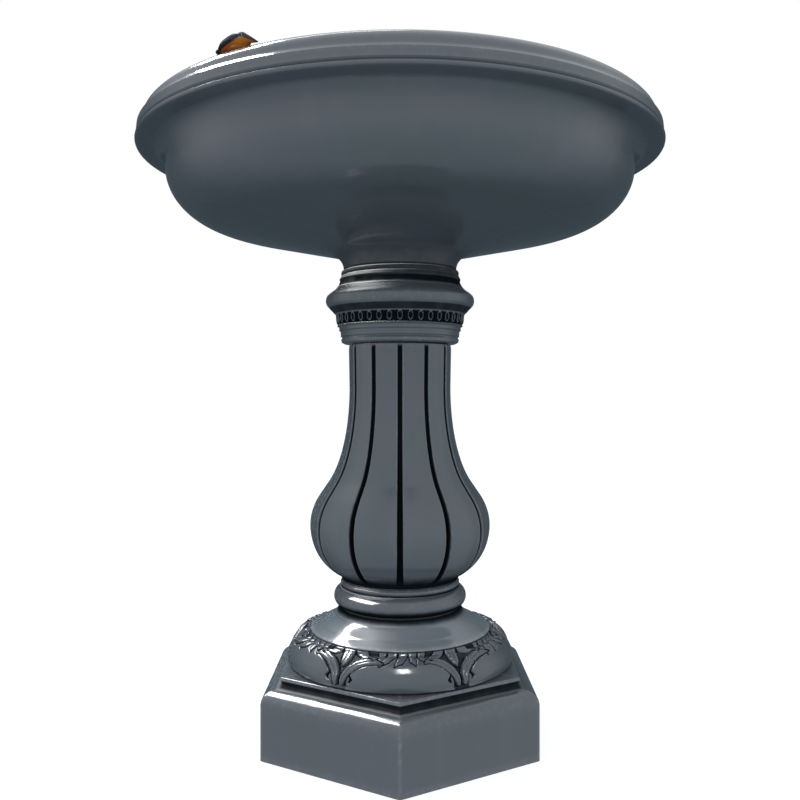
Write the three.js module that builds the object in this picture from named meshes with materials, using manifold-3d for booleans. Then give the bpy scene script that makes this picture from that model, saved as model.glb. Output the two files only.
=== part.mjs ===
// Pedestal bird bath: a cast basin on a capital, a twelve-panel baluster shaft, a collar ring,
// a domed base on a leaf ring, and a hollow hexagonal plinth, all clamped by one tie rod.
// Millimetres, +Z up. The origin is on the ground, under the middle of the plinth.
// One corner of the plinth and one groove of the shaft point to -Y.

import * as THREE from 'three';
import { mergeVertices } from 'three/addons/utils/BufferGeometryUtils.js';
import Module from 'manifold-3d';

const wasm = await Module();
wasm.setup();

// Driving dimensions.
const GAP = 0.3; // between touching pieces
const PLINTH_RADIUS = 177; // to the corners
const PLINTH_HEIGHT = 88;
const PLINTH_FACE_HEIGHT = 62.7;
const LEAF_RING_TOP = 124.5;
const DOME_TOP = 149;
const COLLAR_TOP = 182.5;
const SHAFT_TOP = 460.9;
const CAPITAL_TOP = 549.6;
const BASIN_BOTTOM = 551.4;
const RIM_TOP = 717.9;
const RIM_RADIUS = 304.5;
const FLOOR_TOP = 574.5; // the basin's floor beside the drain
const FLOOR_UNDER = 567.6;
const GASKET = 1; // thickness of the ring under the leaf ring
const JOINT_RING = 0.8; // thickness of the rings between the upper castings

const PANELS = 12;
const GROOVE_LOW = 188;
const GROOVE_HIGH = 459;
const LEAF_BAYS = 6;
const LEAF_TORUS = { r: 108, z: 98, radiusR: 26.4, radiusZ: 26.5 }; // the bosses' section
const LEAF_DIP = 8; // how far the ring is sunk where a pair of leaves stands

const DRAIN_BORE = 11;
const DRAIN_TAIL = 15.2;
const DRAIN_GASKET = 1.2;
const FLANGE_SEAT = FLOOR_TOP + 2 * GAP + DRAIN_GASKET;
const FLANGE_HEIGHT = 3.4;
const PLUG_CAP = FLANGE_SEAT + FLANGE_HEIGHT + GAP; // underside of the plug's cap
const ROD_RADIUS = 6;
const ROD_BOTTOM = 48;
const ROD_TOP = 531;
const TOP_LEDGE = 500; // the seat of the upper bridge, inside the capital
const PLATE_UNDER = 80; // underside of the plinth's top plate

const BIRD_ANGLE = THREE.MathUtils.degToRad(31); // from the front towards -X
const BIRD_RADIUS = 284; // the lip's crest
const BIRD_HEADING = -BIRD_ANGLE; // along the lip
const STUD_RADIUS = 2;

const COARSE = 20;
const MEDIUM = 24;
const FINE = 40;

// Materials.
const paint = (color) => new THREE.MeshStandardMaterial({ color, roughness: 0.28, metalness: 0.15 });
const steel = () => new THREE.MeshStandardMaterial({ color: 0x9a9ea2, roughness: 0.4, metalness: 1 });
const brass = () => new THREE.MeshStandardMaterial({ color: 0xb08d4a, roughness: 0.3, metalness: 1 });
const rubber = () => new THREE.MeshStandardMaterial({ color: 0x15181a, roughness: 0.9, metalness: 0 });
const SLATE = 0x566069;

// A solid of revolution about Z. The profile lists (radius, height) up the outside and down the
// inside. With 6 segments it is a hexagonal prism whose radii run to the corners.
function revolve(profile, segments, closeLoop = true) {
  const points = profile.map(([r, z]) => new THREE.Vector2(r, z));
  if (closeLoop) points.push(points[0].clone());
  const geometry = new THREE.LatheGeometry(points, segments);
  geometry.rotateX(Math.PI / 2);
  return weld(geometry);
}

// Shared vertices merged, so that the surface is closed.
function weld(geometry) {
  geometry.deleteAttribute('normal');
  geometry.deleteAttribute('uv');
  const welded = mergeVertices(geometry, 1e-3);
  return dropSlivers(welded);
}

// Triangles that a weld has collapsed, such as those on the axis of a lathe, are left out.
function dropSlivers(geometry) {
  const index = geometry.index.array;
  const kept = [];
  for (let i = 0; i < index.length; i += 3) {
    const [a, b, c] = [index[i], index[i + 1], index[i + 2]];
    if (a !== b && b !== c && c !== a) kept.push(a, b, c);
  }
  geometry.setIndex(kept);
  return geometry;
}

// Moves each vertex to the radius and angle that shape(radius, angle, height) returns.
// The angle is 0 at the front (-Y) and grows towards +X.
function reshape(geometry, shape) {
  const position = geometry.attributes.position;
  for (let i = 0; i < position.count; i++) {
    const x = position.getX(i);
    const y = position.getY(i);
    const z = position.getZ(i);
    const [r, angle] = shape(Math.hypot(x, y), Math.atan2(x, -y), z);
    position.setXYZ(i, r * Math.sin(angle), -r * Math.cos(angle), z);
  }
  return geometry;
}

function ring(inner, outer, bottom, top) {
  return revolve([[inner, bottom], [outer, bottom], [outer, top], [inner, top]], COARSE);
}

function cylinder(radius, bottom, top, segments = COARSE) {
  const geometry = new THREE.CylinderGeometry(radius, radius, top - bottom, segments);
  geometry.rotateX(Math.PI / 2);
  geometry.translate(0, 0, (bottom + top) / 2);
  return weld(geometry);
}

function plate(shape, holeRadius, bottom, top) {
  const hole = new THREE.Path();
  hole.absarc(0, 0, holeRadius, 0, 2 * Math.PI, true);
  shape.holes.push(hole);
  const geometry = new THREE.ExtrudeGeometry(shape, {
    depth: top - bottom,
    bevelEnabled: false,
    curveSegments: COARSE / 2,
  });
  geometry.translate(0, 0, bottom);
  return weld(geometry);
}

function hexNut(acrossFlats, holeRadius, bottom, top) {
  const corner = acrossFlats / Math.sqrt(3);
  const shape = new THREE.Shape();
  for (let i = 0; i < 6; i++) {
    const angle = (i * Math.PI) / 3;
    const point = [corner * Math.cos(angle), corner * Math.sin(angle)];
    if (i === 0) shape.moveTo(...point);
    else shape.lineTo(...point);
  }
  shape.closePath();
  return plate(shape, holeRadius, bottom, top);
}

// A flat bar along X with round ends and a hole for the tie rod.
function bridgeBar(length, width, bottom, top) {
  const r = width / 2;
  const straight = length / 2 - r;
  const shape = new THREE.Shape();
  shape.moveTo(-straight, -r);
  shape.lineTo(straight, -r);
  shape.absarc(straight, 0, r, -Math.PI / 2, Math.PI / 2, false);
  shape.lineTo(-straight, r);
  shape.absarc(-straight, 0, r, Math.PI / 2, (3 * Math.PI) / 2, false);
  return plate(shape, ROD_RADIUS + 0.6, bottom, top);
}

// Quarter-to-full turns of a moulding, as points on an arc from one angle to another in degrees.
function arc(r, z, radiusR, radiusZ, from, to, steps) {
  const points = [];
  for (let i = 0; i <= steps; i++) {
    const angle = THREE.MathUtils.degToRad(from + ((to - from) * i) / steps);
    points.push([r + radiusR * Math.cos(angle), z + radiusZ * Math.sin(angle)]);
  }
  return points;
}

// Booleans.
function toSolid(geometry) {
  return new wasm.Manifold(new wasm.Mesh({
    numProp: 3,
    vertProperties: new Float32Array(geometry.attributes.position.array),
    triVerts: new Uint32Array(geometry.index.array),
  }));
}

function fromSolid(solid) {
  const mesh = solid.getMesh();
  const geometry = new THREE.BufferGeometry();
  geometry.setAttribute('position', new THREE.BufferAttribute(mesh.vertProperties, 3));
  geometry.setIndex(new THREE.BufferAttribute(mesh.triVerts, 1));
  return geometry;
}

// The outside of the basin, from the neck's foot up to the top of the lip.
function basinOutside() {
  return [
    [67.6, BASIN_BOTTOM], [68.6, 556], [70.9, 560], [74, 564], [78.4, 567.5], [90, 571.5],
    [117, 578], [172, 591], [211, 599.2], [232.5, 605.1], [247, 612.6], [260.2, 623.3],
    [268.1, 635.5], [271.3, 645.3], [272.2, 657],
    ...arc(290, 658, 17.6, 22, 160, 100, 2),
    [300, 680.4], [RIM_RADIUS, 683.2], [301, 685.9], [303.2, 688.6], [302.3, 697.5],
    [299.8, 700.2], [298.2, 702.5], [297, 706], [294.6, 710.3], [290, 714.8], [284, RIM_TOP],
  ];
}

// The inside, from the top of the lip down to the drain hole.
function basinInside() {
  return [
    [279, 716.4], [275.6, 711.5], [276.4, 703], [280, 695], [279, 687.5], [272, 679],
    [266.5, 670], [264.2, 657], [261.5, 646], [257, 636.5], [248, 624.4], [237, 616.2],
    [221, 609.4], [197, 603.4], [172, 598.2], [117, 585.5], [80, 577.5],
    [30, FLOOR_TOP], [15.6, FLOOR_TOP],
  ];
}

function birdPlace() {
  return [-BIRD_RADIUS * Math.sin(BIRD_ANGLE), -BIRD_RADIUS * Math.cos(BIRD_ANGLE)];
}

// The hole in the lip for the bird's stud is blind.
function makeBasin() {
  const neckInside = 57.5;
  const profile = [
    [15.6, FLOOR_UNDER], [neckInside, FLOOR_UNDER], [neckInside, BASIN_BOTTOM],
    ...basinOutside(),
    ...basinInside(),
  ];
  const [x, y] = birdPlace();
  const hole = cylinder(STUD_RADIUS + GAP, RIM_TOP - 12, RIM_TOP + 5, 12).translate(x, y, 0);
  return fromSolid(toSolid(revolve(profile, FINE)).subtract(toSolid(hole)));
}

function makeDrainFlange() {
  const tailEnd = CAPITAL_TOP - 1;
  const seat = FLANGE_SEAT;
  return revolve([
    [DRAIN_BORE, tailEnd], [DRAIN_TAIL, tailEnd], [DRAIN_TAIL, seat], [24, seat], [25, seat + 1.2],
    [23.5, seat + 2.8], [13.2, seat + FLANGE_HEIGHT], [DRAIN_BORE, seat + 1.2],
  ], COARSE);
}

// A stopper with a groove for its seal, a cap that rests on the flange, and a grip knob.
function makeDrainPlug() {
  const cap = PLUG_CAP;
  return revolve([
    [0, cap - 12], [8.8, cap - 12], [10.3, cap - 10.5], [10.3, cap - 9], [8.8, cap - 9],
    [8.8, cap - 6.4], [10.3, cap - 6.4], [10.3, cap], [15, cap], [15, cap + 1.2], [12, cap + 2.4],
    [3.2, cap + 3], [3.2, cap + 6], [5.6, cap + 7.4], [5.6, cap + 9.6], [3.4, cap + 11], [0, cap + 11],
  ], COARSE, false);
}

function makePlugSeal() {
  const middle = PLUG_CAP - 7.7;
  return revolve(arc(9.9, middle, 0.8, 1.05, 0, 315, 7), COARSE);
}

// The spigot at the top enters the basin's neck, and the one at the foot enters the shaft.
function makeCapital() {
  const foot = SHAFT_TOP + 2 * GAP + JOINT_RING;
  return revolve([
    [44, foot - 6], [48, foot - 6], [48, foot], [66.5, foot],
    [69.8, 464], [70.6, 467], [69.2, 469.7], [71, 471], [71.2, 476.8], [73, 478.2], [72.8, 481.6],
    [75.2, 483.4], [76.6, 489], [77.4, 497.4], [79.4, 499.4],
    [87.6, 508.2], [88.8, 512.5], [87.8, 518], [84.4, 521.6],
    [77.6, 526.6], [73.6, 532], [71.8, 536.6], [72.6, 539], [70.8, 542.6], [69.2, 543.4],
    [70.6, 545.4], [70.2, 548.4], [67.4, CAPITAL_TOP],
    [56, CAPITAL_TOP], [56, CAPITAL_TOP + 12], [50, CAPITAL_TOP + 12], [50, 541],
    [61, 531], [76, 518], [76, 511], [67, TOP_LEDGE], [40, TOP_LEDGE], [40, 491],
    [64, 487], [62, 472], [44, 468],
  ], MEDIUM);
}

// How far a groove between two panels is sunk at a height: deeper where the shaft swells.
function grooveDepth(z) {
  const neckDepth = 3;
  const bulbDepth = 8;
  const swell = THREE.MathUtils.smoothstep(z, 250, 380);
  return bulbDepth + (neckDepth - bulbDepth) * swell;
}

// The angles of one panel's vertices, in degrees from the groove before it.
const PANEL_STEPS = [0, 3, 15, 27];

function panelShape(r, angle, z) {
  const pitch = (2 * Math.PI) / PANELS;
  const count = PANEL_STEPS.length;
  const step = Math.round((angle / pitch) * count);
  const panel = Math.floor(step / count);
  const place = step - panel * count;
  const turned = panel * pitch + THREE.MathUtils.degToRad(PANEL_STEPS[place]);
  const carved = place === 0 && z > GROOVE_LOW && z < GROOVE_HIGH;
  return [carved ? r - grooveDepth(z) : r, turned];
}

// The panelled outside less the smooth core; the spigot at the foot enters the collar ring.
function makeShaft() {
  const foot = COLLAR_TOP + 2 * GAP + JOINT_RING;
  const outside = revolve([
    [0, foot - 6], [56, foot - 6], [56, foot], [69, foot], [74.6, 187.2], [82, 193], [92, 203],
    [99.2, 214], [104.9, 228.5], [107, 246], [105.1, 261.8], [99.2, 275.9], [89, 291],
    [78.9, 309], [70.9, 328], [65.7, 347], [62.2, 368], [60, 410], [60.8, 458.6],
    [60.8, SHAFT_TOP], [0, SHAFT_TOP],
  ], PANELS * PANEL_STEPS.length, false);
  const core = revolve([
    [0, foot - 10], [50, foot - 10], [50, 186], [58, 190], [76, 205], [88, 224], [91.5, 244],
    [90, 262], [80, 283], [66, 308], [56, 333], [50.5, 362], [48.8, 400], [48.8, SHAFT_TOP + 10],
    [0, SHAFT_TOP + 10],
  ], COARSE, false);
  const panelled = reshape(outside, panelShape);
  return fromSolid(toSolid(panelled).subtract(toSolid(core)));
}

function makeCollarRing() {
  const foot = DOME_TOP + 2 * GAP + JOINT_RING;
  return revolve([
    [50, foot - 6], [54, foot - 6], [54, foot], [72, foot],
    ...arc(66.6, 163, 12.4, 12.2, -62, 62, 6),
    [69.2, 175.9], [70.8, 177.6], [71, 180.2], [69, COLLAR_TOP],
    [57, COLLAR_TOP], [57, 176.4], [64, 171], [68, 163], [64, 156], [50, 153],
  ], MEDIUM);
}

function makeBaseDome() {
  const foot = LEAF_RING_TOP + GAP;
  return revolve([
    [94, foot - 6.5], [98, foot - 6.5], [98, foot], [106.4, foot],
    [107.2, foot + 1.2], [103, 128.6], [95, 132.8], [84.3, 138.6], [78, 142.8], [73.4, DOME_TOP],
    [54.6, DOME_TOP], [54.6, 142], [66, 137.5], [78, 133], [90, 126.5], [94, 124],
  ], MEDIUM);
}

// The ring swells into a boss in each bay and dips where a pair of leaves stands between two. Above
// the bosses a shallow gutter runs round under the dome's edge.
function makeLeafRing() {
  const foot = PLINTH_HEIGHT + 2 * GAP + GASKET;
  const { r: middle, z: axis, radiusR, radiusZ } = LEAF_TORUS;
  const plain = revolve([
    [118, foot], [130, foot],
    ...arc(middle, axis, radiusR, radiusZ, -17, 58, 5),
    [113.5, 121], [107.5, LEAF_RING_TOP], [98.6, LEAF_RING_TOP], [98.6, 116], [110, 112], [120, 105], [123, 97],
  ], LEAF_BAYS * 8);
  return reshape(plain, (r, angle, z) => {
    const outside = r > middle && Math.hypot(r - middle, z - axis) > radiusR - 2;
    if (!outside) return [r, angle];
    const tilt = Math.atan2(z - axis, r - middle);
    const pinch = Math.sin((angle * LEAF_BAYS) / 2) ** 8;
    return [r - LEAF_DIP * pinch * Math.max(0, Math.sin(2 * tilt)), angle];
  });
}

// A hollow prism with a foot flange, a shouldered edge, a cove and an upper step.
function makePlinth() {
  const prism = revolve([
    [0, PLATE_UNDER], [145, PLATE_UNDER], [146, 73], [156, 66], [168, 57], [168, 9], [156, 6],
    [156, 0], [PLINTH_RADIUS, 0], [PLINTH_RADIUS, PLINTH_FACE_HEIGHT],
    [176, 66.5], [173, 70.4], [167, 74.2], [157, 76], [153.6, 77],
    [151.4, 80.4], [153.4, 83.6], [154.4, 85.6], [152.4, PLINTH_HEIGHT], [0, PLINTH_HEIGHT],
  ], 6, false);
  const opening = cylinder(60, PLATE_UNDER - 10, PLINTH_HEIGHT + 10, MEDIUM);
  return fromSolid(toSolid(prism).subtract(toSolid(opening)));
}

function ellipsoid(x, z, radiusX, radiusY, radiusZ, tilt = 0) {
  const geometry = new THREE.SphereGeometry(1, 12, 8);
  geometry.scale(radiusX, radiusY, radiusZ);
  geometry.rotateY(-tilt);
  geometry.translate(x, 0, z);
  return toSolid(weld(geometry));
}

// The lip grown by a gap and filled in on its inner side, in the bird's frame.
function grownLip() {
  const lip = revolve([
    [270, RIM_TOP - 20], [303.5, RIM_TOP - 20], [303, RIM_TOP - 18], [299.2, RIM_TOP - 14.5],
    [297.6, RIM_TOP - 11.6], [295.2, RIM_TOP - 7.2], [290.4, RIM_TOP - 2.7], [284.1, RIM_TOP + GAP],
    [278.7, RIM_TOP - 1.1], [270, RIM_TOP - 4],
  ], FINE);
  const [x, y] = birdPlace();
  return lip.translate(-x, -y, -(RIM_TOP + GAP)).rotateZ(-BIRD_HEADING);
}

// A small crouching bird with its bill lowered, in its own frame: it faces +X, and the origin is
// on the lip's crest. Its underside is cut to sit astride the lip.
function makeBird() {
  const rise = THREE.MathUtils.degToRad(14);
  const body = ellipsoid(-6.5, 5.6, 12.8, 6.8, 6.8, rise);
  const breast = ellipsoid(3.5, 3.8, 8, 6.4, 7);
  const head = ellipsoid(2.2, 8, 6, 5.4, 6);
  const bill = new THREE.ConeGeometry(2.6, 13.9, 10);
  bill.rotateZ(-Math.PI / 2);
  bill.rotateY(THREE.MathUtils.degToRad(28));
  bill.translate(13.2, 0, 4.2);
  const tail = new THREE.BoxGeometry(11, 7, 5);
  tail.rotateY(-rise);
  tail.translate(-14.2, 0, 4);
  const hole = cylinder(STUD_RADIUS + GAP, -8, 7, 12);
  return fromSolid(
    body.add(breast).add(head).add(toSolid(weld(bill))).add(toSolid(weld(tail)))
      .subtract(toSolid(grownLip())).subtract(toSolid(hole)),
  );
}

const birdBath = new THREE.Group();

function addPart(name, geometry, material, parent = birdBath) {
  const mesh = new THREE.Mesh(geometry, material);
  mesh.name = name;
  parent.add(mesh);
}

addPart('plinth', makePlinth(), paint(SLATE));
addPart('plinth_gasket', ring(118.5, 126, PLINTH_HEIGHT + GAP, PLINTH_HEIGHT + GAP + GASKET), rubber());
addPart('leaf_ring', makeLeafRing(), paint(0x5e686e));
addPart('base_dome', makeBaseDome(), paint(SLATE));
addPart('collar_gasket', ring(55.6, 70, DOME_TOP + GAP, DOME_TOP + GAP + JOINT_RING), rubber());
addPart('collar_ring', makeCollarRing(), paint(SLATE));
addPart('shaft_gasket', ring(57.4, 66, COLLAR_TOP + GAP, COLLAR_TOP + GAP + JOINT_RING), rubber());
addPart('shaft', makeShaft(), paint(SLATE));
addPart('capital_gasket', ring(48.8, 58, SHAFT_TOP + GAP, SHAFT_TOP + GAP + JOINT_RING), rubber());
addPart('capital', makeCapital(), paint(SLATE));
addPart('basin_seat', ring(57, 66.6, CAPITAL_TOP + GAP, BASIN_BOTTOM - GAP), rubber());

addPart('tie_rod', cylinder(ROD_RADIUS, ROD_BOTTOM, ROD_TOP), steel());
addPart('top_bridge', bridgeBar(96, 34, TOP_LEDGE + GAP, TOP_LEDGE + 8), steel());
addPart('top_washer', ring(6.6, 14, TOP_LEDGE + 8.3, TOP_LEDGE + 10.8), steel());
addPart('top_nut', hexNut(19, ROD_RADIUS + GAP, TOP_LEDGE + 11.1, TOP_LEDGE + 21), steel());
addPart('bottom_bridge', bridgeBar(150, 40, PLATE_UNDER - 10.3, PLATE_UNDER - GAP), steel());
addPart('bottom_washer', ring(6.6, 14, PLATE_UNDER - 13.1, PLATE_UNDER - 10.6), steel());
addPart('bottom_nut', hexNut(19, ROD_RADIUS + GAP, PLATE_UNDER - 23.3, PLATE_UNDER - 13.4), steel());

addPart('basin', makeBasin(), paint(SLATE));
addPart('drain_gasket', ring(16, 23, FLOOR_TOP + GAP, FLANGE_SEAT - GAP), rubber());
addPart('drain_flange', makeDrainFlange(), brass());
addPart('drain_nut', hexNut(42, DRAIN_TAIL + GAP, FLOOR_UNDER - 9.3, FLOOR_UNDER - GAP), brass());
addPart('drain_plug', makeDrainPlug(), brass());
addPart('plug_seal', makePlugSeal(), rubber());

const perch = new THREE.Group();
const [perchX, perchY] = birdPlace();
perch.position.set(perchX, perchY, RIM_TOP + GAP);
perch.rotation.z = BIRD_HEADING;
birdBath.add(perch);
addPart('bird_ornament', makeBird(), paint(0x8a5a1c), perch);
addPart('bird_stud', cylinder(STUD_RADIUS, -11.5, 6.6, 12), steel(), perch);

export default birdBath;
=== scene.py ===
"""Looks of the pedestal bird bath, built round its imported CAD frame.

Metres and +Z up once a mesh is made. Outlines are written in millimetres as (radius, height), up the
outside and down the inside. The front of the object is -Y, and angles grow from there towards +X.
"""

import math

import bmesh
import bpy
import numpy as np
from mathutils import Matrix, Vector


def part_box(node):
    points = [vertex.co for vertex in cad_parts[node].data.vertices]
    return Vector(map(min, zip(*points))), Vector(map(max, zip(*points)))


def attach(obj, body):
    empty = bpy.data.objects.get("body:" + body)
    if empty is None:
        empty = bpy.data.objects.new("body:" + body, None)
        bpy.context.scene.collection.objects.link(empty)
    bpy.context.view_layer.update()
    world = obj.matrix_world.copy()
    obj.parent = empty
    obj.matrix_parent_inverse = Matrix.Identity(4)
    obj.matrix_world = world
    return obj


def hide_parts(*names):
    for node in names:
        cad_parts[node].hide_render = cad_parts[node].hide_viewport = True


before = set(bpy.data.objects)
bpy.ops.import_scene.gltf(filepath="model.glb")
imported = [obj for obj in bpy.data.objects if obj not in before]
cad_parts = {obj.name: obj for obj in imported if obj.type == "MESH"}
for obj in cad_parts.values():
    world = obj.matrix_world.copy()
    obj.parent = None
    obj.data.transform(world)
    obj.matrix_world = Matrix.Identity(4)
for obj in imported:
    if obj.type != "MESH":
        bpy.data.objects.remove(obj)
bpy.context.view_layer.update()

MM = 0.001
PANELS = 12
LEAF_BAYS = 6
EGGS = 40


# ---------------------------------------------------------------- what the frame says

def bottom(node):
    """Height of a CAD node's lowest point, in millimetres."""
    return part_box(node)[0].z / MM


def top(node):
    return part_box(node)[1].z / MM


def reach(node):
    """A round CAD node's largest radius, in millimetres."""
    low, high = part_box(node)
    return (high.x - low.x) / 2 / MM


# ---------------------------------------------------------------- outlines

def arc(r, z, radius_r, radius_z, start, end, steps=10):
    """Points on part of an ellipse, from one angle to another in degrees."""
    angles = np.radians(np.linspace(start, end, steps + 1))
    return [(r + radius_r * math.cos(a), z + radius_z * math.sin(a)) for a in angles]


def curve(points, steps=6):
    """A smooth Catmull-Rom curve through the points."""
    p = np.array([points[0], *points, points[-1]], float)
    p[0] = 2 * p[1] - p[2]
    p[-1] = 2 * p[-2] - p[-3]
    made = []
    for i in range(1, len(p) - 2):
        for t in np.arange(steps) / steps:
            made.append(tuple(0.5 * (
                2 * p[i]
                + (p[i + 1] - p[i - 1]) * t
                + (2 * p[i - 1] - 5 * p[i] + 4 * p[i + 1] - p[i + 2]) * t**2
                + (3 * p[i] - p[i - 1] - 3 * p[i + 1] + p[i + 2]) * t**3
            )))
    return [*made, tuple(p[-2])]


def soften(outline, radius=0.9, sharp=24, steps=3):
    """Rounds each corner of a closed outline that turns by more than `sharp` degrees."""
    p = np.array(outline, float)
    keep = np.linalg.norm(p - np.roll(p, 1, axis=0), axis=1) > 1e-4
    p = p[keep]
    made = []
    for before, here, after in zip(np.roll(p, 1, axis=0), p, np.roll(p, -1, axis=0)):
        a, b = before - here, after - here
        la, lb = np.linalg.norm(a), np.linalg.norm(b)
        a, b = a / la, b / lb
        turn = math.pi - math.acos(np.clip(a @ b, -1, 1))
        if math.degrees(turn) < sharp:
            made.append(here)
            continue
        cut = min(radius * math.tan(turn / 2), 0.45 * la, 0.45 * lb)
        for t in np.linspace(0, 1, steps + 1):
            made.append((1 - t) ** 2 * (here + a * cut) + 2 * t * (1 - t) * here + t**2 * (here + b * cut))
    return np.array(made)


def refine(outline, longest):
    """Splits the long sides of a closed outline."""
    made = []
    for here, after in zip(outline, np.roll(outline, -1, axis=0)):
        count = max(1, math.ceil(np.linalg.norm(after - here) / longest))
        for t in np.arange(count) / count:
            made.append(here + (after - here) * t)
    return np.array(made)


def standing(points, foot, longest, radius=0.8):
    """A finished outline from points above a foot, its corners rounded and its long sides split."""
    return refine(soften([(r, foot + z) for r, z in points], radius), longest)


def outward(outline):
    """Unit normals of a closed outline whose inside is on its left."""
    along = np.roll(outline, -1, axis=0) - np.roll(outline, 1, axis=0)
    along /= np.linalg.norm(along, axis=1)[:, None] + 1e-12
    return np.stack([along[:, 1], -along[:, 0]], axis=1)


def openness(outline, others, distance=15, rays=25):
    """How much of its surroundings each point of an outline can see, from 0 in a crevice to 1."""
    start = np.concatenate(others)
    step = np.concatenate([np.roll(o, -1, axis=0) - o for o in others])
    normals = outward(outline)
    fan = np.radians(np.linspace(-80, 80, rays))
    weights = np.cos(fan)
    seen = np.zeros(len(outline))
    origin = outline + normals * 0.06
    for angle, weight in zip(fan, weights):
        c, s = math.cos(angle), math.sin(angle)
        ray = normals @ np.array([[c, s], [-s, c]])
        cross = ray[:, None, 0] * step[None, :, 1] - ray[:, None, 1] * step[None, :, 0]
        cross = np.where(np.abs(cross) < 1e-9, 1e-9, cross)
        gap = start[None] - origin[:, None]
        far = (gap[..., 0] * step[None, :, 1] - gap[..., 1] * step[None, :, 0]) / cross
        place = (gap[..., 0] * ray[:, None, 1] - gap[..., 1] * ray[:, None, 0]) / cross
        hit = (far > 0) & (place >= 0) & (place <= 1)
        nearest = np.where(hit, far, distance).min(axis=1)
        seen += weight * np.clip(nearest / distance, 0, 1) ** 0.6
    return seen / weights.sum()


def crest(outline, radius=3.0):
    """Where an outline has an outer edge, from 0 on the flat to 1 on a sharp edge."""
    length = np.linalg.norm(np.roll(outline, -1, axis=0) - outline, axis=1)
    normals = outward(outline)
    turn = np.zeros(len(outline))
    along = np.concatenate([[0], np.cumsum(length)])[:-1]
    total = length.sum()
    cross = np.cross(normals, np.roll(normals, -1, axis=0))
    for i in range(len(outline)):
        away = np.abs(along - along[i])
        away = np.minimum(away, total - away)
        turn[i] = (cross * np.exp(-(away / radius) ** 2)).sum()
    return np.clip(turn, 0, 1)


# ---------------------------------------------------------------- meshes

def add_object(name, data):
    """A new object in the scene."""
    thing = bpy.data.objects.new(name, data)
    bpy.context.scene.collection.objects.link(thing)
    return thing


def build(name, points, faces, layers=None, sharp=50):
    """A smooth-shaded piece from points in metres, with a float attribute for each layer."""
    mesh = bpy.data.meshes.new(name)
    mesh.from_pydata(points.tolist(), [], faces.tolist())
    for layer, values in (layers or {}).items():
        attribute = mesh.attributes.new(layer, "FLOAT", "POINT")
        attribute.data.foreach_set("value", np.ascontiguousarray(values, np.float32).ravel())
    mesh.shade_smooth()
    mesh.set_sharp_from_angle(angle=math.radians(sharp))
    mesh.validate()
    piece = add_object(name, mesh)
    normals = piece.modifiers.new("even_normals", "WEIGHTED_NORMAL")
    normals.keep_sharp = True
    return piece


def woven(name, rings, layers=None, sharp=50):
    """A closed tube: rings is an array of (ring, point, xyz) in millimetres, joined end to end."""
    count, around = rings.shape[:2]
    i, j = np.meshgrid(np.arange(count), np.arange(around), indexing="ij")
    after, beside = (i + 1) % count, (j + 1) % around
    faces = np.stack([i * around + j, i * around + beside, after * around + beside, after * around + j], -1)
    return build(name, rings.reshape(-1, 3) * MM, faces.reshape(-1, 4), layers, sharp)


def polar(radius, angle, height):
    """Points from arrays of radius, angle from the front and height."""
    radius, angle, height = np.broadcast_arrays(radius, angle, height)
    return np.stack([radius * np.sin(angle), -radius * np.cos(angle), height], -1)


def turned(name, outline, segments, open_sky, wear=None):
    """A turned casting, with its open sky and its wear given along the outline."""
    angle = np.arange(segments) * 2 * math.pi / segments
    layers = {"shade": open_sky, "wear": crest(outline) if wear is None else wear}
    around = {layer: np.repeat(values[:, None], segments, axis=1) for layer, values in layers.items()}
    return woven(name, polar(outline[:, :1], angle, outline[:, 1:]), around)


def smoothstep(value, low, high):
    t = np.clip((value - low) / (high - low), 0, 1)
    return t * t * (3 - 2 * t)


# ---------------------------------------------------------------- outlines of the castings

BOWL_MIDDLE = (197, 105.6)  # of the ellipses that the bowl's wall and underside follow
BOWL_OUTSIDE, BOWL_INSIDE = (75, 59), (67.2, 51.2)  # their two radii
BOWL_FLOOR = -76  # degrees round them, where the bowl's floor begins
LIP_BEAD = 2.5  # radius of the bead at the lip's widest


def basin_outline():
    foot, lip = bottom("basin"), reach("basin")
    up = [
        *arc(93.6, 0, 26, 21, 180, 100, 12),
        *arc(*BOWL_MIDDLE, *BOWL_OUTSIDE, BOWL_FLOOR, 0, 24),
        *arc(290, 106.6, 17.6, 22, 165, 100),
        (300, 129), *arc(lip - LIP_BEAD, 131.8, LIP_BEAD, LIP_BEAD, -70, 80, 6),
        (301, 134.5), (303.2, 137.2), (302.3, 146.1), (299.8, 148.8), (298.2, 151.1),
        *curve([(297, 154.6), (294.6, 158.9), (290, 163.4), (284, 166.5), (279, 165), (275.6, 160.1),
                (276.4, 151.6), (280, 143.6), (279, 136.1), (272, 127.6), (266.5, 118.6), (264.2, 105.6)], 4),
        *arc(*BOWL_MIDDLE, *BOWL_INSIDE, 0, BOWL_FLOOR, 24)[1:],
        *curve([(80, 26.1), (55, 24), (30, 23.1)], 4),
        (15.6, 23.1), (15.6, 16.2), (57.5, 16.2), (57.5, 0),
    ]
    return standing(up, foot, 7)


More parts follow.
